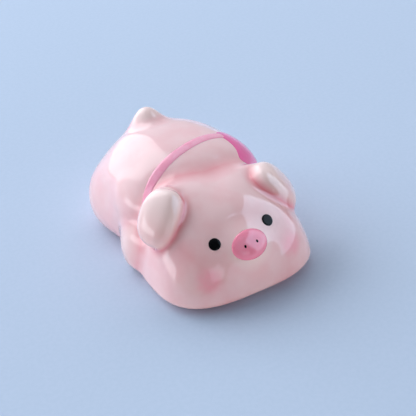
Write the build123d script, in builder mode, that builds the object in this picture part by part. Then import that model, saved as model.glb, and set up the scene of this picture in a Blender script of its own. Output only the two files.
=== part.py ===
from build123d import *
from math import asin, pi, sin
import os

# A small glazed ceramic piglet that lies on its belly with its chin on the table.
# Millimetres. +X is its left side, -Y is the way it looks, +Z is up from the table.
# The torso is cast hollow. The head, ears, legs, tail and muzzle are luted on with slip,
# and the snout, eyes, strap and pouch are raised enamel.

# Clay work
wall = 3.0
slip_line = 0.04
vent_diameter = 4.0
overrun = 30.0

# Head, widest low down at the cheeks, with a crown that leans back
head_half_width = 21.1
head_half_length = 15.7
head_middle_y = -14.4
head_middle_z = 3.1
head_rise = 18.4
head_lean = 5.2
head_taper = 2.6

# Torso, egg-shaped from above, broad at the shoulders
torso_half_width = 19.7
torso_front_reach = 12.9
torso_back_reach = 26.5
torso_middle_y = 3.7
torso_middle_z = 13.0
torso_rise = 12.3

# Forelegs, two stubs that show between the head and the flanks
foreleg_half_width = 4.6
foreleg_half_length = 6.8
foreleg_middle_z = 5.3
foreleg_rise = 7.7

# Hind legs, folded haunches at the rump
haunch_half_width = 12.6
haunch_front_reach = 14.8
haunch_back_reach = 13.1
haunch_middle_z = 7.0
haunch_rise = 12.7

# Ears, thick flaps that fold outward and down to a soft tip
ear_half_width = 6.9
ear_tip_reach = 7.1
ear_root_reach = 7.0
ear_half_thickness = 3.9
ear_slope_degrees = 53.0

# Tail, a blunt nub that points up and back
tail_half_width = 4.0
tail_rise = 5.7
tail_drop = 6.0

# Muzzle, a low round boss on the face, with the snout pad and its two nostrils
muzzle_half_width = 7.0
muzzle_half_height = 5.8
muzzle_proud = 2.0
muzzle_sink = 3.2
snout_half_width = 4.4
snout_half_height = 3.6
snout_proud = 0.5
nostril_half_width = 0.5
nostril_half_height = 0.8
nostril_spacing = 3.2
nostril_depth = 0.15

# Eyes, low beads of black enamel
eye_diameter = 3.0
eye_proud = 0.3
eye_spacing = 16.0

# Strap and pouch, enamel laid over the torso
strap_width = 1.9
strap_proud = 0.4
strap_turn_degrees = 23.0
strap_lean_degrees = 5.0
pouch_length = 16.0
pouch_height = 10.0
pouch_corner_radius = 2.5
pouch_proud = 0.6
pouch_tilt_degrees = 20.0

# How full a ring is at its corners, where 0.5523 gives a true ellipse
round_share = 0.5523
head_share = 0.76
torso_front_share = 0.66
torso_back_share = 0.52
ear_share = 0.61

# How soon a mass rounds in towards the table, against the height of its widest ring
under_share = 1.6

# How square a mass is in side view, where 2 is a true ellipse
round_power = 2.0
head_power = 2.42
torso_power = 2.3

# Rings in each half of a mass
ring_count = 8

# Places, as shares of the sizes of what carries the piece
foreleg_out_share = 0.878
foreleg_ahead_share = 0.488
haunch_out_share = 1.061
haunch_behind_share = 0.989
ear_out_share = 0.709
ear_behind_share = 0.147
ear_up_share = 0.799
tail_behind_share = 0.756
tail_up_share = 0.668
muzzle_up_share = 0.517
snout_up_share = 0.612
eye_up_share = 0.667
strap_behind_share = 0.005
strap_end_share = 0.8
pouch_behind_share = 0.042
pouch_up_share = 0.256

left, right = 1, -1


def clay_mass(base, half_width, front, back, rise, foot, drop, shares, power, lean=0, taper=0, grow=0):
    """Loft a rounded mass on a plane whose origin is the middle of its widest ring.

    Local -Y is the front. The mass is cut flat at foot below the widest ring, or
    closes to a point there where foot equals drop. A negative grow gives its cavity.
    """
    front_side, front_tip, back_side = shares
    half_width, front, back = half_width + grow, front + grow, back + grow
    rise, foot, drop = rise + grow, foot + grow, drop + grow
    lowest = -asin(foot / drop)
    angles = [lowest * step / ring_count for step in range(ring_count, 0, -1)]
    angles += [pi / 2 * step / ring_count for step in range(ring_count)]
    centre = (back - front) / 2
    sections = []
    if foot == drop:
        angles.pop(0)
        bottom = Vector(0, centre - lean * drop / rise, -drop)
        sections.append(Vertex(*base.from_local_coords(bottom)))
    for angle in angles:
        height = (rise if angle > 0 else drop) * sin(angle)
        size = (1 - abs(sin(angle)) ** power) ** (1 / power)
        side = size * (half_width - taper * height / rise)
        ahead, behind = size * front, size * back
        middle = centre * (1 - size) + lean * height / rise
        with BuildSketch(base.offset(height)) as ring:
            with BuildLine():
                for hand in (left, right):
                    Bezier(
                        (hand * side, middle),
                        (hand * side, middle - front_side * ahead),
                        (hand * side * front_tip, middle - ahead),
                        (0, middle - ahead),
                    )
                    Bezier(
                        (hand * side, middle),
                        (hand * side, middle + back_side * behind),
                        (hand * side * back_side, middle + behind),
                        (0, middle + behind),
                    )
            make_face()
        sections.append(ring.sketch)
    sections.append(Vertex(*base.from_local_coords(Vector(0, centre + lean, rise))))
    with BuildPart() as mass:
        loft(sections)
    return mass.part


def head_mass(grow=0):
    return clay_mass(
        Plane((0, head_middle_y, head_middle_z)),
        head_half_width, head_half_length, head_half_length, head_rise,
        head_middle_z, head_middle_z * under_share,
        (head_share, head_share, head_share), head_power, head_lean, head_taper, grow,
    )


def torso_mass(grow=0):
    return clay_mass(
        Plane((0, torso_middle_y, torso_middle_z)),
        torso_half_width, torso_front_reach, torso_back_reach, torso_rise,
        torso_middle_z, torso_middle_z * under_share,
        (torso_front_share, torso_front_share, torso_back_share), torso_power, grow=grow,
    )


def foreleg_mass(hand, grow=0):
    x = hand * foreleg_out_share * torso_half_width
    y = torso_middle_y - foreleg_ahead_share * torso_front_reach
    return clay_mass(
        Plane((x, y, foreleg_middle_z)),
        foreleg_half_width, foreleg_half_length, foreleg_half_length, foreleg_rise,
        foreleg_middle_z, foreleg_middle_z * under_share,
        (round_share, round_share, round_share), round_power, grow=grow,
    )


def haunch_mass(hand, grow=0):
    x = hand * (haunch_out_share * torso_half_width - haunch_half_width)
    y = torso_middle_y + haunch_behind_share * torso_back_reach - haunch_back_reach
    return clay_mass(
        Plane((x, y, haunch_middle_z)),
        haunch_half_width, haunch_front_reach, haunch_back_reach, haunch_rise,
        haunch_middle_z, haunch_middle_z * under_share,
        (round_share, round_share, round_share), round_power, grow=grow,
    )


def ear_mass(hand, grow=0):
    # The face of the flap leans outward, and its local -Y runs down to the tip
    x = hand * ear_out_share * head_half_width
    y = head_middle_y + ear_behind_share * head_half_length
    z = head_middle_z + ear_up_share * head_rise
    outward = Vector(0, 0, 1).rotate(Axis.Y, hand * ear_slope_degrees)
    return clay_mass(
        Plane((x, y, z), x_dir=(0, hand, 0), z_dir=outward),
        ear_half_width, ear_tip_reach, ear_root_reach, ear_half_thickness,
        ear_half_thickness, ear_half_thickness,
        (ear_share, ear_share, ear_share), round_power, grow=grow,
    )


def tail_mass(grow=0):
    y = torso_middle_y + tail_behind_share * torso_back_reach
    z = torso_middle_z + tail_up_share * torso_rise
    return clay_mass(
        Plane((0, y, z)),
        tail_half_width, tail_half_width, tail_half_width, tail_rise, tail_drop, tail_drop,
        (round_share, round_share, round_share), round_power, grow=grow,
    )


def on_front(form, x, z):
    """Plane on the front of a form at x and z, facing out, with its X kept level."""
    shot = Axis((x, head_middle_y, z), (0, -1, 0))
    hits = [hit for face in form.faces() for hit in face.find_intersection_points(shot)]
    point, normal = min(hits, key=lambda hit: hit[0].Y)
    if normal.Y > 0:
        normal = -normal
    return Plane(point, x_dir=Vector(0, 0, 1).cross(normal), z_dir=normal)


# The forms that others are cut to, a slip line larger than the pieces themselves
head_form = head_mass()
head_cutter = head_mass(slip_line)
torso_cutter = torso_mass(slip_line)
foreleg_cutters = {hand: foreleg_mass(hand, slip_line) for hand in (left, right)}
ear_cutters = {hand: ear_mass(hand, slip_line) for hand in (left, right)}
haunch_cutter = haunch_mass(left, slip_line)

# Torso: hollow, with a vent in its base
with BuildPart() as torso:
    add(torso_mass())
    add(torso_mass(-wall), mode=Mode.SUBTRACT)
    with BuildSketch(Plane((0, torso_middle_y, 0))):
        Circle(vent_diameter / 2)
    extrude(amount=torso_middle_z, mode=Mode.SUBTRACT)
torso.part.label = "torso"
export_list = [torso.part]

# Head, seated on the front of the torso
with BuildPart() as head:
    add(head_form)
    add(torso_cutter, mode=Mode.SUBTRACT)
head.part.label = "head"
export_list.append(head.part)

# Ears, cut to the head and to the shoulder they reach
with BuildPart() as ear_left:
    add(ear_mass(left))
    add(head_cutter, mode=Mode.SUBTRACT)
    add(torso_cutter, mode=Mode.SUBTRACT)
ear_left.part.label = "ear_left"
with BuildPart() as ear_right:
    mirror(ear_left.part, about=Plane.YZ)
ear_right.part.label = "ear_right"
export_list += [ear_left.part, ear_right.part]

# Forelegs, cut to the torso, the head and the ear above
with BuildPart() as foreleg_left:
    add(foreleg_mass(left))
    add(torso_cutter, mode=Mode.SUBTRACT)
    add(head_cutter, mode=Mode.SUBTRACT)
    add(ear_cutters[left], mode=Mode.SUBTRACT)
foreleg_left.part.label = "foreleg_left"
with BuildPart() as foreleg_right:
    mirror(foreleg_left.part, about=Plane.YZ)
foreleg_right.part.label = "foreleg_right"
export_list += [foreleg_left.part, foreleg_right.part]

# Hind legs, cut to the torso
with BuildPart() as hindleg_left:
    add(haunch_mass(left))
    add(torso_cutter, mode=Mode.SUBTRACT)
hindleg_left.part.label = "hindleg_left"
with BuildPart() as hindleg_right:
    mirror(hindleg_left.part, about=Plane.YZ)
hindleg_right.part.label = "hindleg_right"
export_list += [hindleg_left.part, hindleg_right.part]

# Tail, seated on the rump
with BuildPart() as tail:
    add(tail_mass())
    add(torso_cutter, mode=Mode.SUBTRACT)
tail.part.label = "tail"
export_list.append(tail.part)

# Muzzle, square to the face where it is carried
muzzle_face = on_front(head_form, 0, head_middle_z + muzzle_up_share * head_rise)


def muzzle_mass(grow=0):
    return clay_mass(
        muzzle_face.offset(-muzzle_sink),
        muzzle_half_width, muzzle_half_height, muzzle_half_height, muzzle_sink + muzzle_proud,
        muzzle_sink, muzzle_sink,
        (round_share, round_share, round_share), round_power, grow=grow,
    )


with BuildPart() as muzzle:
    add(muzzle_mass())
    add(head_cutter, mode=Mode.SUBTRACT)
muzzle.part.label = "muzzle"
export_list.append(muzzle.part)

# Snout pad and nostrils, a skin over the muzzle that follows its curve
snout_face = on_front(muzzle_mass(), 0, head_middle_z + snout_up_share * head_rise)
muzzle_cutter = muzzle_mass(slip_line)
with BuildPart() as snout:
    with BuildSketch(snout_face):
        Ellipse(snout_half_width, snout_half_height)
        with Locations((-nostril_spacing / 2, 0), (nostril_spacing / 2, 0)):
            Ellipse(
                nostril_half_width + slip_line, nostril_half_height + slip_line, mode=Mode.SUBTRACT
            )
    extrude(amount=muzzle_sink, both=True)
    add(muzzle_mass(snout_proud), mode=Mode.INTERSECT)
    add(muzzle_cutter, mode=Mode.SUBTRACT)
    add(head_cutter, mode=Mode.SUBTRACT)
snout.part.label = "snout"
export_list.append(snout.part)

for hand, name in ((left, "nostril_left"), (right, "nostril_right")):
    with BuildPart() as nostril:
        with BuildSketch(snout_face):
            with Locations((hand * nostril_spacing / 2, 0)):
                Ellipse(nostril_half_width, nostril_half_height)
        extrude(amount=muzzle_sink, both=True)
        add(muzzle_mass(snout_proud - nostril_depth), mode=Mode.INTERSECT)
        add(muzzle_cutter, mode=Mode.SUBTRACT)
    nostril.part.label = name
    export_list.append(nostril.part)

# Eyes, each square to the face under it
eye_z = head_middle_z + eye_up_share * head_rise
bead_radius = ((eye_diameter / 2) ** 2 + eye_proud ** 2) / (2 * eye_proud)
for hand, name in ((left, "eye_left"), (right, "eye_right")):
    with BuildPart() as eye:
        socket = on_front(head_form, hand * eye_spacing / 2, eye_z)
        with BuildSketch(Plane(socket.origin, x_dir=socket.x_dir, z_dir=-socket.y_dir)):
            with BuildLine():
                bead = RadiusArc((0, eye_proud), (eye_diameter / 2, 0), bead_radius)
                mirror(bead, about=Plane.XZ)
                Line((0, -eye_proud), (0, eye_proud))
            make_face()
        revolve(axis=Axis(socket.origin, socket.z_dir))
        add(head_cutter, mode=Mode.SUBTRACT)
    eye.part.label = name
    export_list.append(eye.part)

# Pouch: a raised field on the left flank, with its mouth running down to the front
pouch_y = torso_middle_y + pouch_behind_share * torso_back_reach
pouch_plane = Plane(
    (0, pouch_y, torso_middle_z + pouch_up_share * torso_rise),
    x_dir=Vector(0, 1, 0).rotate(Axis.X, pouch_tilt_degrees),
    z_dir=(1, 0, 0),
)
with BuildPart() as pouch:
    with BuildSketch(pouch_plane):
        RectangleRounded(pouch_length, pouch_height, pouch_corner_radius)
    extrude(amount=overrun)
    add(torso_mass(pouch_proud), mode=Mode.INTERSECT)
    for cutter in (torso_cutter, head_cutter, ear_cutters[left], foreleg_cutters[left], haunch_cutter):
        add(cutter, mode=Mode.SUBTRACT)
pouch.part.label = "pouch"
export_list.append(pouch.part)

# Strap: a slanted slice of a slightly larger torso, from the pouch's mouth to the right shoulder
strap_normal = Vector(0, 1, 0).rotate(Axis.X, strap_lean_degrees).rotate(Axis.Z, strap_turn_degrees)
strap_plane = Plane(
    (0, torso_middle_y + strap_behind_share * torso_back_reach, 0),
    x_dir=Vector(0, 0, 1).cross(strap_normal),
    z_dir=strap_normal,
)
strap_end_z = foreleg_middle_z + strap_end_share * foreleg_rise
with BuildPart() as strap:
    with BuildSketch(strap_plane):
        with Locations((0, strap_end_z)):
            Rectangle(2 * overrun, overrun, align=(Align.CENTER, Align.MIN))
    extrude(amount=strap_width / 2, both=True)
    add(torso_mass(strap_proud), mode=Mode.INTERSECT)
    with BuildSketch(pouch_plane):
        with Locations((0, pouch_height / 2 + slip_line)):
            Rectangle(2 * overrun, overrun, align=(Align.CENTER, Align.MAX))
    extrude(amount=overrun, mode=Mode.SUBTRACT)
    for cutter in (torso_cutter, head_cutter, *ear_cutters.values(), *foreleg_cutters.values()):
        add(cutter, mode=Mode.SUBTRACT)
strap.part.label = "strap"
export_list.append(strap.part)

os.makedirs("parts", exist_ok=True)
for piece in export_list:
    export_step(piece, f"parts/{piece.label}.step")
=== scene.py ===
from math import cos, pi, radians, sin, tan

import bpy
import numpy as np
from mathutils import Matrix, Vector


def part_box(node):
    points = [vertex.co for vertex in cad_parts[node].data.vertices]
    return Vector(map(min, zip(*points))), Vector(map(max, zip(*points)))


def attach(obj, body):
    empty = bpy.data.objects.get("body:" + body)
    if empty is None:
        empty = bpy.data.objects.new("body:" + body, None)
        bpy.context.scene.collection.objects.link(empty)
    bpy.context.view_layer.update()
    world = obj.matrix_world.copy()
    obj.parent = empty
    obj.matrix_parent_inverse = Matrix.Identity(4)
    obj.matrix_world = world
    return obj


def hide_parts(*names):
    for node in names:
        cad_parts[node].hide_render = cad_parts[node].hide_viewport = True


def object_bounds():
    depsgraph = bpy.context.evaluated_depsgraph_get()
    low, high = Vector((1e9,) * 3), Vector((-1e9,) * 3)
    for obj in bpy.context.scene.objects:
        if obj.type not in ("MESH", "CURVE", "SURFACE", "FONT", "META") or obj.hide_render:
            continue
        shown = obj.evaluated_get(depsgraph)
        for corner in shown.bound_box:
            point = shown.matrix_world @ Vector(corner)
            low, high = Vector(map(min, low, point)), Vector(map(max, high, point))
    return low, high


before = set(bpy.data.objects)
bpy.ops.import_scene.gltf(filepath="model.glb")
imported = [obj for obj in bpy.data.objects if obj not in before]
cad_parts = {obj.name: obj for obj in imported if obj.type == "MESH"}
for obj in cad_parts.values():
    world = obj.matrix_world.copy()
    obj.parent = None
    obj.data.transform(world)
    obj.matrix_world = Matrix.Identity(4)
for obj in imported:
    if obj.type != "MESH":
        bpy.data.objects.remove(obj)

import openvdb
from mathutils import Matrix, Vector

# A glazed ceramic piglet. The clay masses are fields of the same rounded kind as the frame's
# solids. They are welded with soft creases into one skin, which is then cut along the creases into
# one piece for each clay part. The enamel is laid on that skin. All sizes are in metres. The
# piglet faces -Y, and its left side is +X.

cad_low, cad_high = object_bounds()

LEFT, RIGHT = 1, -1

# Head, widest low down at the cheeks, with a crown that leans back
HEAD_HALF_WIDTH = 0.0211
HEAD_HALF_LENGTH = 0.0157
HEAD_MIDDLE = (0, -0.0144, 0.0031)
HEAD_RISE = 0.0184
HEAD_LEAN = 0.0052
HEAD_TAPER = 0.0026
HEAD_PLAN_POWER = 2.90
HEAD_SIDE_POWER = 2.42

# Nape, a swelling of the head behind each ear, which the ear grows out of
NAPE_MIDDLE = (0.0078, -0.0066, 0.0164)
NAPE_OFFSETS = {LEFT: (0.0, -0.0008, -0.0018), RIGHT: (0.0, 0.0, 0.0)}
NAPE_REACH = (0.0078, 0.0056, 0.0052)
NAPE_FILL = 0.0060

# Torso, egg-shaped from above, broad at the shoulders
TORSO_HALF_WIDTH = 0.0186
TORSO_HALF_LENGTH = 0.0197
TORSO_MIDDLE = (0, 0.0105, 0.0130)
TORSO_RISE = 0.0123
TORSO_POWER = 2.30
TORSO_NARROWING_SHARE = 0.30

# Legs
FORELEG_HALF_WIDTH = 0.0046
FORELEG_HALF_LENGTH = 0.0068
FORELEG_MIDDLE = (0.0173, -0.0026, 0.0053)
FORELEG_RISE = 0.0077
HAUNCH_HALF_WIDTH = 0.0126
HAUNCH_FRONT_REACH = 0.0148
HAUNCH_BACK_REACH = 0.0131
HAUNCH_RISE = 0.0127
HAUNCH_MIDDLE = (0.0083, 0.0168, 0.0070)

# Ears, flaps that fold outward and down to a soft tip
EAR_HALF_HEIGHT = 0.0072
EAR_FRONT_REACHES = {LEFT: 0.0056, RIGHT: 0.0041}
EAR_BACK_REACH = 0.0062
EAR_HALF_THICKNESS = 0.0037
EAR_MIDDLE = (0.0152, -0.0127, 0.0179)
EAR_OFFSETS = {LEFT: (0.0006, 0.0, -0.0017), RIGHT: (0.0, 0.0004, 0.0009)}
EAR_SLOPE = radians(51.0)
EAR_SPLAY = radians(-30.0)
EAR_PLAN_POWER = 2.35
EAR_SIDE_POWER = 2.5

# Tail, a blunt nub that points up and back
TAIL_HALF_WIDTH = 0.0040
TAIL_RISE = 0.0057
TAIL_DROP = 0.0060
TAIL_AHEAD = 0.0002

# Muzzle, a low boss on the face
MUZZLE_HALF_WIDTH = 0.0070
MUZZLE_HALF_HEIGHT = 0.0058
MUZZLE_PROUD = 0.0021
MUZZLE_SINK = 0.0032

# How far below its widest ring a mass rounds in, against the height of that ring
UNDER_SHARE = 1.6

# What is welded to the torso and to the head, in that order, and then the head to the torso:
# the width of each filled crease, and how much of the pink glaze pools there
TRUNK_CREASES = {
    "hindleg_left": (0.0045, 0.0), "hindleg_right": (0.0045, 0.0), "tail": (0.0040, 0.12),
    "foreleg_left": (0.0024, 0.3), "foreleg_right": (0.0024, 0.3),
}
HEAD_CREASES = {"ear_left": (0.0020, 1.0), "ear_right": (0.0020, 1.0), "muzzle": (0.0030, 0.05)}
NECK_CREASE = (0.0026, 0.6)
POOL_WIDTH_SHARE = 1.5
POOL_POWER = 1.5

# How much wider an ear's crease gets over its root, and between which distances behind its middle
EAR_ROOT_FILL = 0.0040
EAR_ROOT_START = 0.0010
EAR_ROOT_END = 0.0060

# Rounded edge around the base, and the vent hole in it
FOOT_ROUNDING = 0.0028
VENT_RADIUS = 0.0020
VENT_ROUNDING = FOOT_ROUNDING / 4
VENT_DEPTH = 0.0050
VENT_Y = 0.0037

# Face. It is set a little askew, and its eyes a little nearer to each other than the frame's
FACE_TILT = radians(-4.5)
EYE_NARROWING = 0.94
EYE_RADIUS = 0.0015
EYE_PROUD = 0.00030
SNOUT_HALF_WIDTH = 0.0048
SNOUT_HALF_HEIGHT = 0.0036
SNOUT_PROUD = 0.00045
NOSTRIL_HALF_WIDTH = 0.00042
NOSTRIL_HALF_HEIGHT = 0.00055
NOSTRIL_PROUD = 0.00050

# Strap, which lies in a plane that is turned and leans back, between two angles in that plane
STRAP_WIDTH = 0.0019
STRAP_PROUD = 0.00018
STRAP_TURN = radians(14.9)
STRAP_LEAN = radians(-29.5)
STRAP_Y = -0.0069
STRAP_START = radians(46.0)
STRAP_END = radians(150.0)
STRAP_CLEARANCE = 1.2  # where the band starts before it is pressed on, in torso half widths
STRAP_STEPS = 200
STRAP_LANES = 12

# Pouch
POUCH_LENGTH = 0.0148
POUCH_HEIGHT = 0.0112
POUCH_TILT = radians(16.0)
POUCH_PROUD = 0.0003
POUCH_AHEAD = 0.0020
POUCH_LIFT = 0.0005
POUCH_CORNER_POWER = 6.0

# Blush, two soft spots on the cheeks
BLUSH_SPOTS = ((-0.0117, -0.0272, 0.0082), (0.0117, -0.0264, 0.0090))
BLUSH_RADIUS = 0.0044
BLUSH_CORE_SHARE = 0.25

# How cream the clay is, where it isn't pink, and over what run at its border that fades. On the
# ears, tail and muzzle the cream is the clay's own colour; on the forelegs it is painted highlight,
# which stands in for the sheen where light falls on them
CREAM_AND_HIGHLIGHT_SHARES = {
    "ear_left": 1.0, "ear_right": 1.0, "tail": 1.0, "muzzle": 1.0,
    "foreleg_left": 0.7, "foreleg_right": 0.7,
}
CREAM_FADE = (-0.0006, 0.0022)

# Mesh
VOXEL = 0.00036  # step of the grid
NUDGE = 0.00002  # step over which a slope is taken
SKIRT = 0.0030  # how far from the skin the grid's values reach, and a point moves at once
CAP_SINK = 0.2  # how far the middle of a cap sinks toward the middle of its piece, as a share
RIM_SHARE = 0.999  # from this share of the way out, a point of the enamel is on its rim

# Least values that keep a field and a step finite far from the skin
LEAST_WIDTH_SHARE = 0.2
LEAST_SIZE = 0.02
LEAST_SLOPE = 0.2
TINY = 1e-9

UPRIGHT = np.identity(3)


def turned(*turns):
    """Local axes as the columns of a matrix, after turns of an angle about a named axis."""
    matrix = Matrix.Identity(3)
    for angle, axis in turns:
        matrix = Matrix.Rotation(angle, 3, axis) @ matrix
    return np.array(matrix)


def rounded_mass(middle, half_width, front, back, rise, drop, plan_power=2.0, side_power=2.0,
                 lean=0.0, taper=0.0, narrowing=0.0, axes=UPRIGHT):
    """A field that is below zero inside a rounded lump, and about the distance to its skin
    outside. Plan power rounds it from above, side power from the side."""
    def field(points):
        local = (points - np.array(middle)) @ axes
        up = local[:, 2] / rise
        along = local[:, 1] - lean * up
        side = local[:, 0] / (half_width - taper * up)
        side = side / np.maximum(1 - narrowing * along / ((front + back) / 2), LEAST_WIDTH_SHARE)
        along = np.abs(along) / np.where(along < 0, front, back)
        height = np.abs(local[:, 2]) / np.where(up < 0, drop, rise)
        ring = (np.abs(side) ** plan_power + along ** plan_power) ** (side_power / plan_power)
        size = np.maximum((ring + height ** side_power) ** (1 / side_power), LEAST_SIZE)
        return np.linalg.norm(local, axis=1) * (1 - 1 / size)
    return field


def smooth_step(value, low, high):
    """0 below low, 1 above high, and a soft step between them."""
    t = np.clip((value - low) / (high - low), 0, 1)
    return t * t * (3 - 2 * t)


def weld(a, b, width):
    """Union of two fields, with the crease between them filled over a width."""
    near = np.maximum(width - np.abs(a - b), 0) / width
    return np.minimum(a, b) - near * near * width / 4


def carve(a, b, width):
    """The part of a that is outside b, with a rounded edge."""
    return -weld(-a, b, width)


def head_field():
    skull = rounded_mass(
        HEAD_MIDDLE, HEAD_HALF_WIDTH, HEAD_HALF_LENGTH, HEAD_HALF_LENGTH, HEAD_RISE,
        HEAD_MIDDLE[2] * UNDER_SHARE, HEAD_PLAN_POWER, HEAD_SIDE_POWER, HEAD_LEAN, HEAD_TAPER,
    )
    width, length, height = NAPE_REACH
    napes = []
    for hand in (LEFT, RIGHT):
        x, y, z = np.array(NAPE_MIDDLE) + NAPE_OFFSETS[hand]
        napes.append(rounded_mass((hand * x, y, z), width, length, length, height, height))

    def field(points):
        return weld(weld(skull(points), napes[0](points), NAPE_FILL), napes[1](points), NAPE_FILL)
    return field


def torso_field():
    return rounded_mass(
        TORSO_MIDDLE, TORSO_HALF_WIDTH, TORSO_HALF_LENGTH, TORSO_HALF_LENGTH, TORSO_RISE,
        TORSO_MIDDLE[2] * UNDER_SHARE, TORSO_POWER, TORSO_POWER, narrowing=TORSO_NARROWING_SHARE,
    )


def foreleg_field(hand):
    x, y, z = FORELEG_MIDDLE
    return rounded_mass(
        (hand * x, y, z), FORELEG_HALF_WIDTH, FORELEG_HALF_LENGTH, FORELEG_HALF_LENGTH,
        FORELEG_RISE, z * UNDER_SHARE,
    )


def haunch_field(hand):
    x, y, z = HAUNCH_MIDDLE
    return rounded_mass(
        (hand * x, y, z), HAUNCH_HALF_WIDTH, HAUNCH_FRONT_REACH, HAUNCH_BACK_REACH, HAUNCH_RISE,
        z * UNDER_SHARE,
    )


def ear_field(hand):
    x, y, z = np.array(EAR_MIDDLE) + EAR_OFFSETS[hand]
    axes = turned((hand * EAR_SLOPE, "Y"), (hand * EAR_SPLAY, "Z"))
    return rounded_mass(
        (hand * x, y, z), EAR_HALF_HEIGHT, EAR_FRONT_REACHES[hand], EAR_BACK_REACH,
        EAR_HALF_THICKNESS, EAR_HALF_THICKNESS, EAR_PLAN_POWER, EAR_SIDE_POWER, axes=axes,
    )


def tail_field():
    low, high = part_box("tail")
    middle = (0, (low.y + high.y) / 2 - TAIL_AHEAD, high.z - TAIL_RISE)
    return rounded_mass(
        middle, TAIL_HALF_WIDTH, TAIL_HALF_WIDTH, TAIL_HALF_WIDTH, TAIL_RISE, TAIL_DROP,
    )


def gradient(field, points):
    """A field's gradient at each point, by central differences."""
    columns = []
    for axis in np.identity(3) * NUDGE:
        columns.append((field(points + axis) - field(points - axis)) / (2 * NUDGE))
    return np.stack(columns, 1)


def unit(vectors):
    return vectors / np.linalg.norm(vectors, axis=1, keepdims=True)


def settle(field, points, rounds=4):
    """Move points along the field's own gradient until they lie on its skin."""
    for _ in range(rounds):
        slope = gradient(field, points)
        points = points - (field(points) / (slope ** 2).sum(1))[:, None] * slope
    return points


def press(field, points, direction, rounds=12):
    """Slide points along a direction until they lie on the skin of a field."""
    for _ in range(rounds):
        ahead, behind = field(points + direction * NUDGE), field(points - direction * NUDGE)
        slope = (ahead - behind) / (2 * NUDGE)
        flat = np.abs(slope) < LEAST_SLOPE
        step = field(points) / np.where(flat, np.sign(slope) * LEAST_SLOPE + TINY, slope)
        points = points - np.clip(step, -SKIRT, SKIRT)[:, None] * direction
    return points


def muzzle_field():
    """The boss, square to the face where the frame's muzzle stands."""
    low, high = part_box("muzzle")
    probe = np.array([[0, low.y, (low.z + high.z) / 2]])
    seat = press(MASSES["head"], probe, np.array([0, -1.0, 0]))
    out = unit(gradient(MASSES["head"], seat))[0]
    across = np.array([1.0, 0, 0])
    axes = np.stack([across, np.cross(out, across), out], 1)
    return rounded_mass(
        seat[0] - MUZZLE_SINK * out, MUZZLE_HALF_WIDTH, MUZZLE_HALF_HEIGHT, MUZZLE_HALF_HEIGHT,
        MUZZLE_SINK + MUZZLE_PROUD, MUZZLE_SINK, axes=axes,
    )


MASSES = {
    "torso": torso_field(),
    "hindleg_left": haunch_field(LEFT),
    "hindleg_right": haunch_field(RIGHT),
    "tail": tail_field(),
    "foreleg_left": foreleg_field(LEFT),
    "foreleg_right": foreleg_field(RIGHT),
    "head": head_field(),
    "ear_left": ear_field(LEFT),
    "ear_right": ear_field(RIGHT),
}
MASSES["muzzle"] = muzzle_field()


def distances(points):
    """The field of every mass at each point, a column for each, in the order of MASSES."""
    return np.stack([mass(points) for mass in MASSES.values()], 1)


def crease_width(name, width, points):
    """The width of a mass's crease. An ear's widens over the back of its root, toward the crown."""
    if not name.startswith("ear"):
        return width
    x, y, z = EAR_MIDDLE
    inward = (x - np.abs(points[:, 0])) * cos(EAR_SLOPE) + (points[:, 2] - z) * sin(EAR_SLOPE)
    behind = smooth_step(points[:, 1], y + EAR_ROOT_START, y + EAR_ROOT_END)
    return width + EAR_ROOT_FILL * behind * smooth_step(inward, 0.0, EAR_HALF_HEIGHT)


def pool_between(a, b, width, amount):
    """How much pink glaze has gathered in the crease between two fields, from 0 to 1."""
    return amount * np.maximum(1 - np.abs(a - b) / (width * POOL_WIDTH_SHARE), 0) ** POOL_POWER


def weld_all(points, without=()):
    """The welded field, and how much glaze has gathered in its creases."""
    groups, pool = [], np.zeros(len(points))
    for carrier, creases in (("torso", TRUNK_CREASES), ("head", HEAD_CREASES)):
        skin = MASSES[carrier](points)
        for name, (width, amount) in creases.items():
            if name in without:
                continue
            mass = MASSES[name](points)
            filled = crease_width(name, width, points)
            pool = np.maximum(pool, pool_between(skin, mass, width, amount * width / filled))
            skin = weld(skin, mass, filled)
        groups.append(skin)
    pool = np.maximum(pool, pool_between(*groups, *NECK_CREASE))
    return weld(*groups, NECK_CREASE[0]), pool


def back_and_head(points):
    """The skin that the strap lies on, which passes under the ears and behind the forelegs."""
    return weld_all(points, ("ear_left", "ear_right", "foreleg_left", "foreleg_right"))[0]


def body(points):
    """The whole glazed body: the welded masses, cut flat on the table, with the vent hole."""
    skin = carve(weld_all(points)[0], points[:, 2], FOOT_ROUNDING)
    hole = np.hypot(points[:, 0], points[:, 1] - VENT_Y) - VENT_RADIUS
    hole = np.maximum(hole, points[:, 2] - VENT_DEPTH)
    return carve(skin, hole, VENT_ROUNDING)


def polygonise(field):
    """Vertices and triangles of a field's skin, from a grid, settled on the exact skin."""
    low = np.array(cad_low) - SKIRT
    high = np.array(cad_high) + SKIRT
    axes = [np.arange(low[i], high[i], VOXEL) for i in range(3)]
    grid = np.stack(np.meshgrid(*axes, indexing="ij"), -1)
    values = field(grid.reshape(-1, 3)).reshape(grid.shape[:3])
    volume = openvdb.FloatGrid(SKIRT)
    volume.copyFromArray(np.clip(values, -SKIRT, SKIRT).astype(np.float32))
    points, triangles, quads = volume.convertToPolygons(isovalue=0.0, adaptivity=0.0)
    points = settle(field, low + points.astype(float) * VOXEL)
    first = np.linalg.norm(points[quads[:, 0]] - points[quads[:, 2]], axis=1)
    second = np.linalg.norm(points[quads[:, 1]] - points[quads[:, 3]], axis=1)
    short = (first < second)[:, None]
    halves = [
        np.where(short, quads[:, [0, 1, 2]], quads[:, [0, 1, 3]]),
        np.where(short, quads[:, [0, 2, 3]], quads[:, [1, 2, 3]]),
        triangles,
    ]
    faces = np.concatenate([half.reshape(-1, 3) for half in halves]).astype(int)
    a, b, c = (points[faces[:, i]] for i in range(3))
    if np.einsum("ij,ij->i", a, np.cross(b, c)).sum() < 0:
        faces = faces[:, ::-1]
    return points, faces


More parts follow.
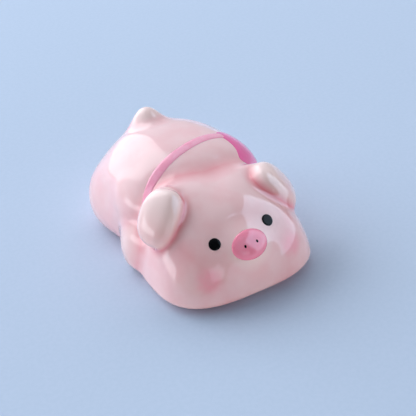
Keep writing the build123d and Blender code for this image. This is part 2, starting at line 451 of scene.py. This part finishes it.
def cut_into_masses(points, faces):
    """Cut the skin along its creases. Returns the points, and each mass's own faces."""
    names = list(MASSES)
    near = distances(points)
    label = near.argmin(1)
    points = list(points)
    cuts = {}

    def cut(i, j):
        key = (min(i, j), max(i, j))
        if key not in cuts:
            a, b = key
            gap_a = near[a, label[a]] - near[a, label[b]]
            gap_b = near[b, label[a]] - near[b, label[b]]
            share = gap_a / (gap_a - gap_b)
            cuts[key] = len(points)
            points.append(points[a] + share * (points[b] - points[a]))
        return cuts[key]

    owner = label[faces]
    plain = (owner == owner[:, :1]).all(1)
    parts = {name: [faces[plain & (owner[:, 0] == k)]] for k, name in enumerate(names)}
    for face in faces[~plain]:
        kinds = [label[i] for i in face]
        if len(set(kinds)) == 3:
            centre = len(points)
            points.append(sum(points[i] for i in face) / 3)
            for k in range(3):
                i, after, before = face[k], face[(k + 1) % 3], face[(k + 2) % 3]
                first, last = cut(i, after), cut(before, i)
                parts[names[label[i]]].append([[i, first, centre], [i, centre, last]])
            continue
        odd = next(k for k in range(3) if kinds.count(kinds[k]) == 1)
        i, j, k = face[odd], face[(odd + 1) % 3], face[(odd + 2) % 3]
        first, last = cut(i, j), cut(k, i)
        parts[names[label[i]]].append([[i, first, last]])
        parts[names[label[j]]].append([[first, j, k], [first, k, last]])
    return np.array(points), {name: np.concatenate(found) for name, found in parts.items()}


def open_loops(faces):
    """Closed runs of edges that only one face uses, each in the order that closes the piece."""
    edges = np.concatenate([faces[:, [0, 1]], faces[:, [1, 2]], faces[:, [2, 0]]])
    known = set(map(tuple, edges.tolist()))
    follows = {b: a for a, b in known if (b, a) not in known}
    loops = []
    while follows:
        start, nxt = follows.popitem()
        loop = [start]
        while nxt in follows:
            loop.append(nxt)
            nxt = follows.pop(nxt)
        loops.append(loop)
    return loops


def add_mesh(name, points, faces, normals=None, values=None):
    """A smooth mesh object, with exact normals and named point values where they are given."""
    mesh = bpy.data.meshes.new(name)
    mesh.from_pydata(points.tolist(), [], faces.tolist())
    mesh.polygons.foreach_set("use_smooth", np.ones(len(mesh.polygons), bool))
    for key, value in (values or {}).items():
        attribute = mesh.attributes.new(key, "FLOAT", "POINT")
        attribute.data.foreach_set("value", value.astype(np.float32))
    if normals is not None:
        mesh.normals_split_custom_set_from_vertices(normals.tolist())
    mesh.validate()
    piece = bpy.data.objects.new(name, mesh)
    bpy.context.scene.collection.objects.link(piece)
    return piece


def finish_piece(piece, node, material):
    """Give a piece its body and its material, and hide the node that it stands for."""
    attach(piece, "root")
    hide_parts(node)
    piece.data.materials.append(material)


def glaze_values(points):
    """How much glaze has pooled in the creases, how cream the clay is, with the forelegs' paler
    share as painted highlight, and how blushed.
    """
    names = list(MASSES)
    near = distances(points)
    cream_and_highlight = np.zeros(len(points))
    for name, share in CREAM_AND_HIGHLIGHT_SHARES.items():
        k = names.index(name)
        others = np.delete(near, k, 1).min(1)
        cream_and_highlight = np.maximum(cream_and_highlight, share * smooth_step(others - near[:, k], *CREAM_FADE))
    blush = np.zeros(len(points))
    for spot in BLUSH_SPOTS:
        away = np.linalg.norm(points - np.array(spot), axis=1)
        fade = smooth_step(away, BLUSH_CORE_SHARE * BLUSH_RADIUS, BLUSH_RADIUS)
        blush = np.maximum(blush, 1 - fade)
    return {"pool": weld_all(points)[1], "cream_and_highlight": cream_and_highlight, "blush": blush}


def clay_pieces():
    """One closed piece for each mass, its cut closed by a cap that lies inside the body."""
    points, faces = polygonise(body)
    points, parts = cut_into_masses(points, faces)
    points = settle(body, points, 2)
    normals = unit(gradient(body, points))
    values = glaze_values(points)
    for name, part in parts.items():
        used, local = np.unique(part, return_inverse=True)
        local = local.reshape(-1, 3)
        own = points[used]
        caps, centres = [], []
        middle = own.mean(0)
        for loop in open_loops(local):
            centre = len(own) + len(centres)
            centres.append((1 - CAP_SINK) * own[loop].mean(0) + CAP_SINK * middle)
            caps += [[loop[i], loop[(i + 1) % len(loop)], centre] for i in range(len(loop))]
        extra = np.array(centres).reshape(-1, 3)
        piece = add_mesh(
            name + "_glaze",
            np.concatenate([own, extra]),
            np.concatenate([local, np.array(caps, int).reshape(-1, 3)]),
            np.concatenate([normals[used], np.tile([0, 0, 1.0], (len(extra), 1))]),
            {key: np.append(v[used], np.zeros(len(extra))) for key, v in values.items()},
        )
        finish_piece(piece, name, materials["glaze"])


def patch(name, origin, across, up, outline, proud, edge_power=4.0, rings=10, spokes=96):
    """A closed pad of enamel on the body. The outline gives its rim, across and up, at an angle."""
    out = np.cross(across, up)
    shares = np.sin(np.linspace(0, pi / 2, rings + 1))[1:]
    angles = np.linspace(0, 2 * pi, spokes, endpoint=False)
    rim = np.array([outline(angle) for angle in angles])
    flat = np.concatenate([[[0.0, 0.0]], *(share * rim for share in shares)])
    reach = np.concatenate([[0.0], np.repeat(shares, spokes)])
    seat = press(body, origin + flat[:, :1] * across + flat[:, 1:] * up, out)
    lift = unit(gradient(body, seat))
    height = proud * (1 - reach ** edge_power) ** 0.5
    sink = proud / 4 + NUDGE
    top = seat + (height - sink * (reach > RIM_SHARE))[:, None] * lift
    base = seat - (sink * 2) * lift
    count = len(seat)
    points = np.concatenate([top, base])
    faces = []
    for k in range(spokes):
        n = (k + 1) % spokes
        faces.append([0, 1 + k, 1 + n])
        faces.append([count, count + 1 + n, count + 1 + k])
        for ring in range(rings - 1):
            a, b = 1 + ring * spokes + k, 1 + ring * spokes + n
            c, d = a + spokes, b + spokes
            faces += [[a, c, d], [a, d, b]]
            faces += [[count + a, count + d, count + c], [count + a, count + b, count + d]]
        a, b = 1 + (rings - 1) * spokes + k, 1 + (rings - 1) * spokes + n
        faces += [[a, count + a, count + b], [a, count + b, b]]
    return add_mesh(name, points, np.array(faces), values={"reach": np.tile(reach, 2)})


def ellipse(half_width, half_height):
    return lambda angle: (half_width * cos(angle), half_height * sin(angle))


def rounded_box(half_width, half_height, power):
    def rim(angle):
        c, s = cos(angle), sin(angle)
        size = (abs(c / half_width) ** power + abs(s / half_height) ** power) ** (-1 / power)
        return size * c, size * s
    return rim


def face_patch(node, outline, proud, material):
    """Enamel on the face, square to the skin under the middle of its node."""
    low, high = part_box("snout")
    centre = (low + high) / 2
    low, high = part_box(node)
    away = (low + high) / 2 - centre
    away.x *= EYE_NARROWING if node.startswith("eye") else 1
    place = centre + Matrix.Rotation(FACE_TILT, 3, "Y") @ away
    seat = settle(body, np.array([place]), 8)
    out = unit(gradient(body, seat))[0]
    level = unit(np.cross([[0, 0, 1.0]], [out]))[0]
    across = level * cos(FACE_TILT) - np.cross(out, level) * sin(FACE_TILT)
    piece = patch(node + "_enamel", seat[0], across, np.cross(out, across), outline, proud)
    finish_piece(piece, node, material)


def face_pieces():
    eye = ellipse(EYE_RADIUS, EYE_RADIUS)
    snout = ellipse(SNOUT_HALF_WIDTH, SNOUT_HALF_HEIGHT)
    nostril = ellipse(NOSTRIL_HALF_WIDTH, NOSTRIL_HALF_HEIGHT)
    for hand in ("left", "right"):
        face_patch(f"eye_{hand}", eye, EYE_PROUD, materials["black"])
    face_patch("snout", snout, SNOUT_PROUD, materials["snout"])
    for hand in ("left", "right"):
        face_patch(f"nostril_{hand}", nostril, NOSTRIL_PROUD, materials["black"])


def pouch_piece():
    low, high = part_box("pouch")
    middle = (low + high) / 2
    across = np.array([0, cos(POUCH_TILT), sin(POUCH_TILT)])
    up = np.array([0, -sin(POUCH_TILT), cos(POUCH_TILT)])
    origin = np.array([high.x, middle.y - POUCH_AHEAD, middle.z + POUCH_LIFT])
    outline = rounded_box(POUCH_LENGTH / 2, POUCH_HEIGHT / 2, POUCH_CORNER_POWER)
    piece = patch(
        "pouch_enamel", origin, across, up, outline, POUCH_PROUD, edge_power=8.0, rings=24,
        spokes=160,
    )
    finish_piece(piece, "pouch", materials["pouch"])


def strap_piece():
    """A flat band in a slanted plane over the back, from the pouch to the right shoulder."""
    out = turned((STRAP_LEAN, "X"), (STRAP_TURN, "Z"))
    along, across, rise = out[:, 0], out[:, 1], out[:, 2]
    centre = np.array([0, STRAP_Y, TORSO_MIDDLE[2] / 2])
    angles = np.linspace(STRAP_START, STRAP_END, STRAP_STEPS)
    rays = np.cos(angles)[:, None] * along + np.sin(angles)[:, None] * rise
    start = centre + rays * TORSO_HALF_WIDTH * STRAP_CLEARANCE
    spread = np.sin(np.linspace(-pi / 2, pi / 2, STRAP_LANES + 1))
    tops, bases = [], []
    for share in spread:
        seat = press(back_and_head, start + share * STRAP_WIDTH / 2 * across, rays)
        lift = unit(gradient(back_and_head, seat))
        height = STRAP_PROUD * (1 - abs(share) ** 4) ** 0.5
        sink = STRAP_PROUD / 3 * (abs(share) > RIM_SHARE)
        tops.append(seat + (height - sink) * lift)
        bases.append(seat - STRAP_PROUD * lift)
    lines = np.array(tops + bases[::-1])
    rows, count = len(lines), STRAP_STEPS
    faces = []
    for r in range(rows):
        n = (r + 1) % rows
        for s in range(count - 1):
            a, b, c, d = r * count + s, n * count + s, n * count + s + 1, r * count + s + 1
            faces += [[a, b, c], [a, c, d]]
    for r in range(1, rows - 1):
        faces.append([0, (r + 1) * count, r * count])
        faces.append([count - 1, r * count + count - 1, (r + 1) * count + count - 1])
    # The rim value is signed across the band, so only its front edge deepens: painted shade along
    # that edge
    side = np.repeat(-np.concatenate([spread, spread[::-1]]), count)
    piece = add_mesh("strap_enamel", lines.reshape(-1, 3), np.array(faces), values={"reach": side})
    finish_piece(piece, "strap", materials["strap"])


def linear(*colour):
    """A colour as it is seen, 0 to 255, in the renderer's linear values."""
    return tuple(
        c / 255 / 12.92 if c <= 10 else ((c / 255 + 0.055) / 1.055) ** 2.4 for c in colour
    ) + (1.0,)


BODY_PINK = linear(250, 213, 216)
BODY_SHADE = linear(248, 203, 207)
POOL_PINK = linear(234, 122, 136)
# Cream clay, which on the forelegs is also painted highlight
CREAM_AND_HIGHLIGHT = linear(252, 226, 224)
BLUSH_PINK = linear(255, 172, 190)
SNOUT_PINK = linear(255, 158, 186)
SNOUT_EDGE = linear(255, 132, 164)
STRAP_PINK = linear(255, 182, 208)
# Deeper strap pink, for its streaks and for the painted shade along its front edge
STRAP_STREAK_AND_SHADE = linear(250, 132, 168)
POUCH_PINK = linear(250, 116, 184)
POUCH_EDGE = linear(236, 92, 158)
BLACK = linear(8, 8, 10)
BLACK_EDGE = linear(12, 11, 14)
FLOOR_BLUE = linear(190, 207, 230)
FLOOR_SHADE = linear(187, 205, 228)
FLOOR_BOUNCE = linear(240, 224, 222)
WORLD_BLUE = linear(226, 234, 248)

FLOOR_REACH = 3.0

# Clear coat, and the waves in the glaze and in the enamel: their scale and height
COAT_ROUGHNESS = 0.01
COAT_IOR = 1.5
GLAZE_WAVES = (110.0, 0.00030)
ENAMEL_WAVES = (300.0, 0.00010)


def new_material(name):
    material = bpy.data.materials.new(name)
    material.use_nodes = True
    nodes, links = material.node_tree.nodes, material.node_tree.links
    return material, nodes, links, nodes["Principled BSDF"]


def value_of(nodes, name):
    """A value that the mesh carries at its points."""
    node = nodes.new("ShaderNodeAttribute")
    node.attribute_name = name
    return node.outputs["Fac"]


def noise(nodes, links, scale, detail, rough=0.5):
    place = nodes.new("ShaderNodeTexCoord")
    node = nodes.new("ShaderNodeTexNoise")
    node.inputs["Scale"].default_value = scale
    node.inputs["Detail"].default_value = detail
    node.inputs["Roughness"].default_value = rough
    links.new(place.outputs["Object"], node.inputs["Vector"])
    return node.outputs["Fac"]


def curve(nodes, links, source, low, high, to_low=0.0, to_high=1.0):
    """A soft step from one value to another, while the source goes from low to high."""
    node = nodes.new("ShaderNodeMapRange")
    node.interpolation_type = "SMOOTHSTEP"
    links.new(source, node.inputs["Value"])
    ends = {"From Min": low, "From Max": high, "To Min": to_low, "To Max": to_high}
    for key, value in ends.items():
        node.inputs[key].default_value = value
    return node.outputs["Result"]


def blend_colours(nodes, links, share, first, second):
    node = nodes.new("ShaderNodeMix")
    node.data_type = "RGBA"
    links.new(share, node.inputs[0])
    for source, socket in ((first, node.inputs[6]), (second, node.inputs[7])):
        if isinstance(source, tuple):
            socket.default_value = source
        else:
            links.new(source, socket)
    return node.outputs[2]


def combine(nodes, links, operation, first, second):
    node = nodes.new("ShaderNodeMath")
    node.operation = operation
    node.use_clamp = True
    for source, socket in ((first, node.inputs[0]), (second, node.inputs[1])):
        if isinstance(source, float):
            socket.default_value = source
        else:
            links.new(source, socket)
    return node.outputs[0]


def ripple(nodes, links, shader, scale, distance):
    """Slow waves in the glaze, which make its reflections waver."""
    bump = nodes.new("ShaderNodeBump")
    bump.inputs["Strength"].default_value = 1.0
    bump.inputs["Distance"].default_value = distance
    links.new(noise(nodes, links, scale, detail=1.0), bump.inputs["Height"])
    links.new(bump.outputs["Normal"], shader.inputs["Normal"])
    links.new(bump.outputs["Normal"], shader.inputs["Coat Normal"])


def glossy(shader, roughness, coat):
    shader.inputs["Roughness"].default_value = roughness
    shader.inputs["Coat Weight"].default_value = coat
    shader.inputs["Coat Roughness"].default_value = COAT_ROUGHNESS
    shader.inputs["Coat IOR"].default_value = COAT_IOR


def glaze_material():
    """Cloudy pink, cream and blushed clay colours, with pink glaze in the creases, and paler
    forelegs as painted highlight.
    """
    material, nodes, links, shader = new_material("pink_and_cream_glaze")
    cloud = noise(nodes, links, scale=160.0, detail=3.0)
    shade = curve(nodes, links, cloud, low=0.35, high=0.7)
    pink = blend_colours(nodes, links, shade, BODY_PINK, BODY_SHADE)
    # Cream clay on the ears, tail and muzzle; on the forelegs the same cream is painted highlight
    colour = blend_colours(nodes, links, value_of(nodes, "cream_and_highlight"), pink, CREAM_AND_HIGHLIGHT)
    patchy = curve(nodes, links, cloud, low=0.2, high=0.6, to_low=0.55, to_high=0.9)
    pool = combine(nodes, links, "MULTIPLY", value_of(nodes, "pool"), patchy)
    colour = blend_colours(nodes, links, pool, colour, POOL_PINK)
    fine = noise(nodes, links, scale=420.0, detail=4.0)
    powdery = curve(nodes, links, fine, low=0.25, high=0.65, to_low=0.35, to_high=0.8)
    blush = combine(nodes, links, "MULTIPLY", value_of(nodes, "blush"), powdery)
    colour = blend_colours(nodes, links, blush, colour, BLUSH_PINK)
    links.new(colour, shader.inputs["Base Color"])
    glossy(shader, roughness=0.12, coat=1.0)
    ripple(nodes, links, shader, *GLAZE_WAVES)
    return material


def enamel_material(name, middle, edge, scale, coat=1.0):
    """Streaked enamel that deepens toward its rim. On the strap the rim is one edge only, and that
    deeper edge is painted shade. The scale is that of the streaks.
    """
    material, nodes, links, shader = new_material(name)
    streak = noise(nodes, links, scale, detail=4.0, rough=0.6)
    streak = curve(nodes, links, streak, low=0.35, high=0.65)
    streak = combine(nodes, links, "MULTIPLY", streak, 0.45)
    # Deeper toward the rim; on the strap this is painted shade along its front edge
    rim = curve(nodes, links, value_of(nodes, "reach"), low=0.6, high=1.0, to_high=0.6)
    share = combine(nodes, links, "MAXIMUM", streak, rim)
    links.new(blend_colours(nodes, links, share, middle, edge), shader.inputs["Base Color"])
    glossy(shader, roughness=0.2, coat=coat)
    ripple(nodes, links, shader, *ENAMEL_WAVES)
    shader.inputs["Specular IOR Level"].default_value = 0.5 * coat
    return material


def floor_material():
    """Blue paper as the camera and reflections see it, which bounces a warmer light."""
    material, nodes, links, shader = new_material("pale_blue_paper")
    grain = curve(nodes, links, noise(nodes, links, scale=900.0, detail=2.0), low=0.3, high=0.7)
    seen = blend_colours(nodes, links, grain, FLOOR_BLUE, FLOOR_SHADE)
    path = nodes.new("ShaderNodeLightPath").outputs
    direct = combine(nodes, links, "MAXIMUM", path["Is Camera Ray"], path["Is Glossy Ray"])
    direct = combine(nodes, links, "MAXIMUM", direct, path["Is Transmission Ray"])
    links.new(blend_colours(nodes, links, direct, FLOOR_BOUNCE, seen), shader.inputs["Base Color"])
    shader.inputs["Roughness"].default_value = 0.9
    shader.inputs["Specular IOR Level"].default_value = 0.0
    return material


def add_floor():
    corners = np.array([[-1, -1, 0], [1, -1, 0], [1, 1, 0], [-1, 1, 0]]) * FLOOR_REACH
    floor = add_mesh("floor", corners, np.array([[0, 1, 2, 3]]))
    floor.data.materials.append(floor_material())


# The photograph's camera, found by fitting the outline. The axis is the pixel that it looks at
CAMERA_AZIMUTH = radians(-27.6)
CAMERA_ELEVATION = radians(35.21)
CAMERA_ROLL = radians(-3.82)
CAMERA_VIEW = radians(20.99)
CAMERA_DISTANCE = 0.28821
CAMERA_TARGET = Vector((0, 0.0004, 0.0090))
CAMERA_CLIP = 0.01
PHOTO_SIZE = 416
PHOTO_AXIS = (194.09, 206.45)


def direction_to(azimuth, elevation):
    """From the object toward an azimuth, where 0 is in front of the face, and an elevation."""
    return Vector((
        sin(azimuth) * cos(elevation), -cos(azimuth) * cos(elevation), sin(elevation),
    ))


def add_camera():
    back = direction_to(CAMERA_AZIMUTH, CAMERA_ELEVATION)
    level = Vector((0, 0, 1)).cross(back).normalized()
    upward = back.cross(level)
    right = level * cos(CAMERA_ROLL) + upward * sin(CAMERA_ROLL)
    top = upward * cos(CAMERA_ROLL) - level * sin(CAMERA_ROLL)
    data = bpy.data.cameras.new("camera")
    data.sensor_fit = "HORIZONTAL"
    data.angle = CAMERA_VIEW
    data.clip_start = CAMERA_CLIP
    data.shift_x = (PHOTO_SIZE / 2 - PHOTO_AXIS[0]) / PHOTO_SIZE
    data.shift_y = (PHOTO_AXIS[1] - PHOTO_SIZE / 2) / PHOTO_SIZE
    camera = bpy.data.objects.new("camera", data)
    pose = Matrix((right, top, back)).transposed().to_4x4()
    pose.translation = CAMERA_TARGET + CAMERA_DISTANCE * back
    camera.matrix_world = pose
    bpy.context.scene.collection.objects.link(camera)
    bpy.context.scene.camera = camera


# The room: how strongly it lights from in front and from behind
WORLD_FRONT = 0.07
WORLD_BACK = 0.60

# The lamps, each a lit rectangle that faces the object from the same distance: azimuth, elevation,
# width and height in degrees as the object sees them, the brightness of its face, its colour, and
# whether it lights the object, shines in its glaze, or does both
LAMP_DISTANCE = 1.60
WHITE = (1.0, 1.0, 1.0)
SKY = (0.92, 0.98, 1.05)
WALL = (0.6, 0.78, 1.0)
CARD = (0.8, 0.85, 1.0)
LAMPS = {
    "window_back": (-171, 33, 40, 62, 1.3, WHITE, "lights and shines"),
    "fill_left": (-137, 28, 58, 44, 2.6, SKY, "lights"),
    "fill_above": (165, 46, 80, 36, 1.35, WHITE, "lights"),
    "fill_right": (80, 10, 80, 20, 1.5, WHITE, "lights"),
    "fill_front": (0, 12, 90, 24, 1.35, WHITE, "lights"),
    "glare_back": (-171, 33, 40, 62, 2.0, SKY, "shines"),
    "glare_left": (-102, 9, 40, 17, 2.0, SKY, "shines"),
    "wall_right": (62, 27, 64, 72, 2.2, WALL, "shines"),
    "card_front": (1, 13, 20, 15, 1.1, CARD, "shines"),
}


def add_lamp(name, azimuth, elevation, wide, high, level, colour, does):
    direction = direction_to(radians(azimuth), radians(elevation))
    data = bpy.data.lights.new(name, "AREA")
    data.shape = "RECTANGLE"
    data.size = 2 * LAMP_DISTANCE * tan(radians(wide) / 2)
    data.size_y = 2 * LAMP_DISTANCE * tan(radians(high) / 2)
    data.energy = level * pi * data.size * data.size_y
    data.color = colour
    lamp = bpy.data.objects.new(name, data)
    lamp.visible_camera = False
    lamp.visible_diffuse = "lights" in does
    lamp.visible_glossy = "shines" in does
    lamp.matrix_world = direction.to_track_quat("Z", "Y").to_matrix().to_4x4()
    lamp.location = CAMERA_TARGET + LAMP_DISTANCE * direction
    bpy.context.scene.collection.objects.link(lamp)


def add_light():
    """A room that is darker in front, with a window behind, fills, and what shines in the glaze."""
    world = bpy.data.worlds.new("studio")
    bpy.context.scene.world = world
    world.use_nodes = True
    nodes, links = world.node_tree.nodes, world.node_tree.links
    nodes["Background"].inputs["Color"].default_value = WORLD_BLUE
    direction = nodes.new("ShaderNodeTexCoord")
    parts = nodes.new("ShaderNodeSeparateXYZ")
    links.new(direction.outputs["Generated"], parts.inputs["Vector"])
    strength = curve(
        nodes, links, parts.outputs["Y"], low=-0.8, high=0.9, to_low=WORLD_FRONT,
        to_high=WORLD_BACK,
    )
    links.new(strength, nodes["Background"].inputs["Strength"])
    for name, lamp in LAMPS.items():
        add_lamp(name, *lamp)


bpy.context.scene.view_settings.view_transform = "Standard"
materials = {
    "glaze": glaze_material(),
    "black": enamel_material("black_enamel", BLACK, BLACK_EDGE, 500.0, coat=0.2),
    "snout": enamel_material("snout_enamel", SNOUT_PINK, SNOUT_EDGE, 500.0),
    "strap": enamel_material("strap_enamel", STRAP_PINK, STRAP_STREAK_AND_SHADE, 350.0),
    "pouch": enamel_material("pouch_enamel", POUCH_PINK, POUCH_EDGE, 250.0),
}
add_camera()
add_light()
add_floor()
clay_pieces()
face_pieces()
pouch_piece()
strap_piece()
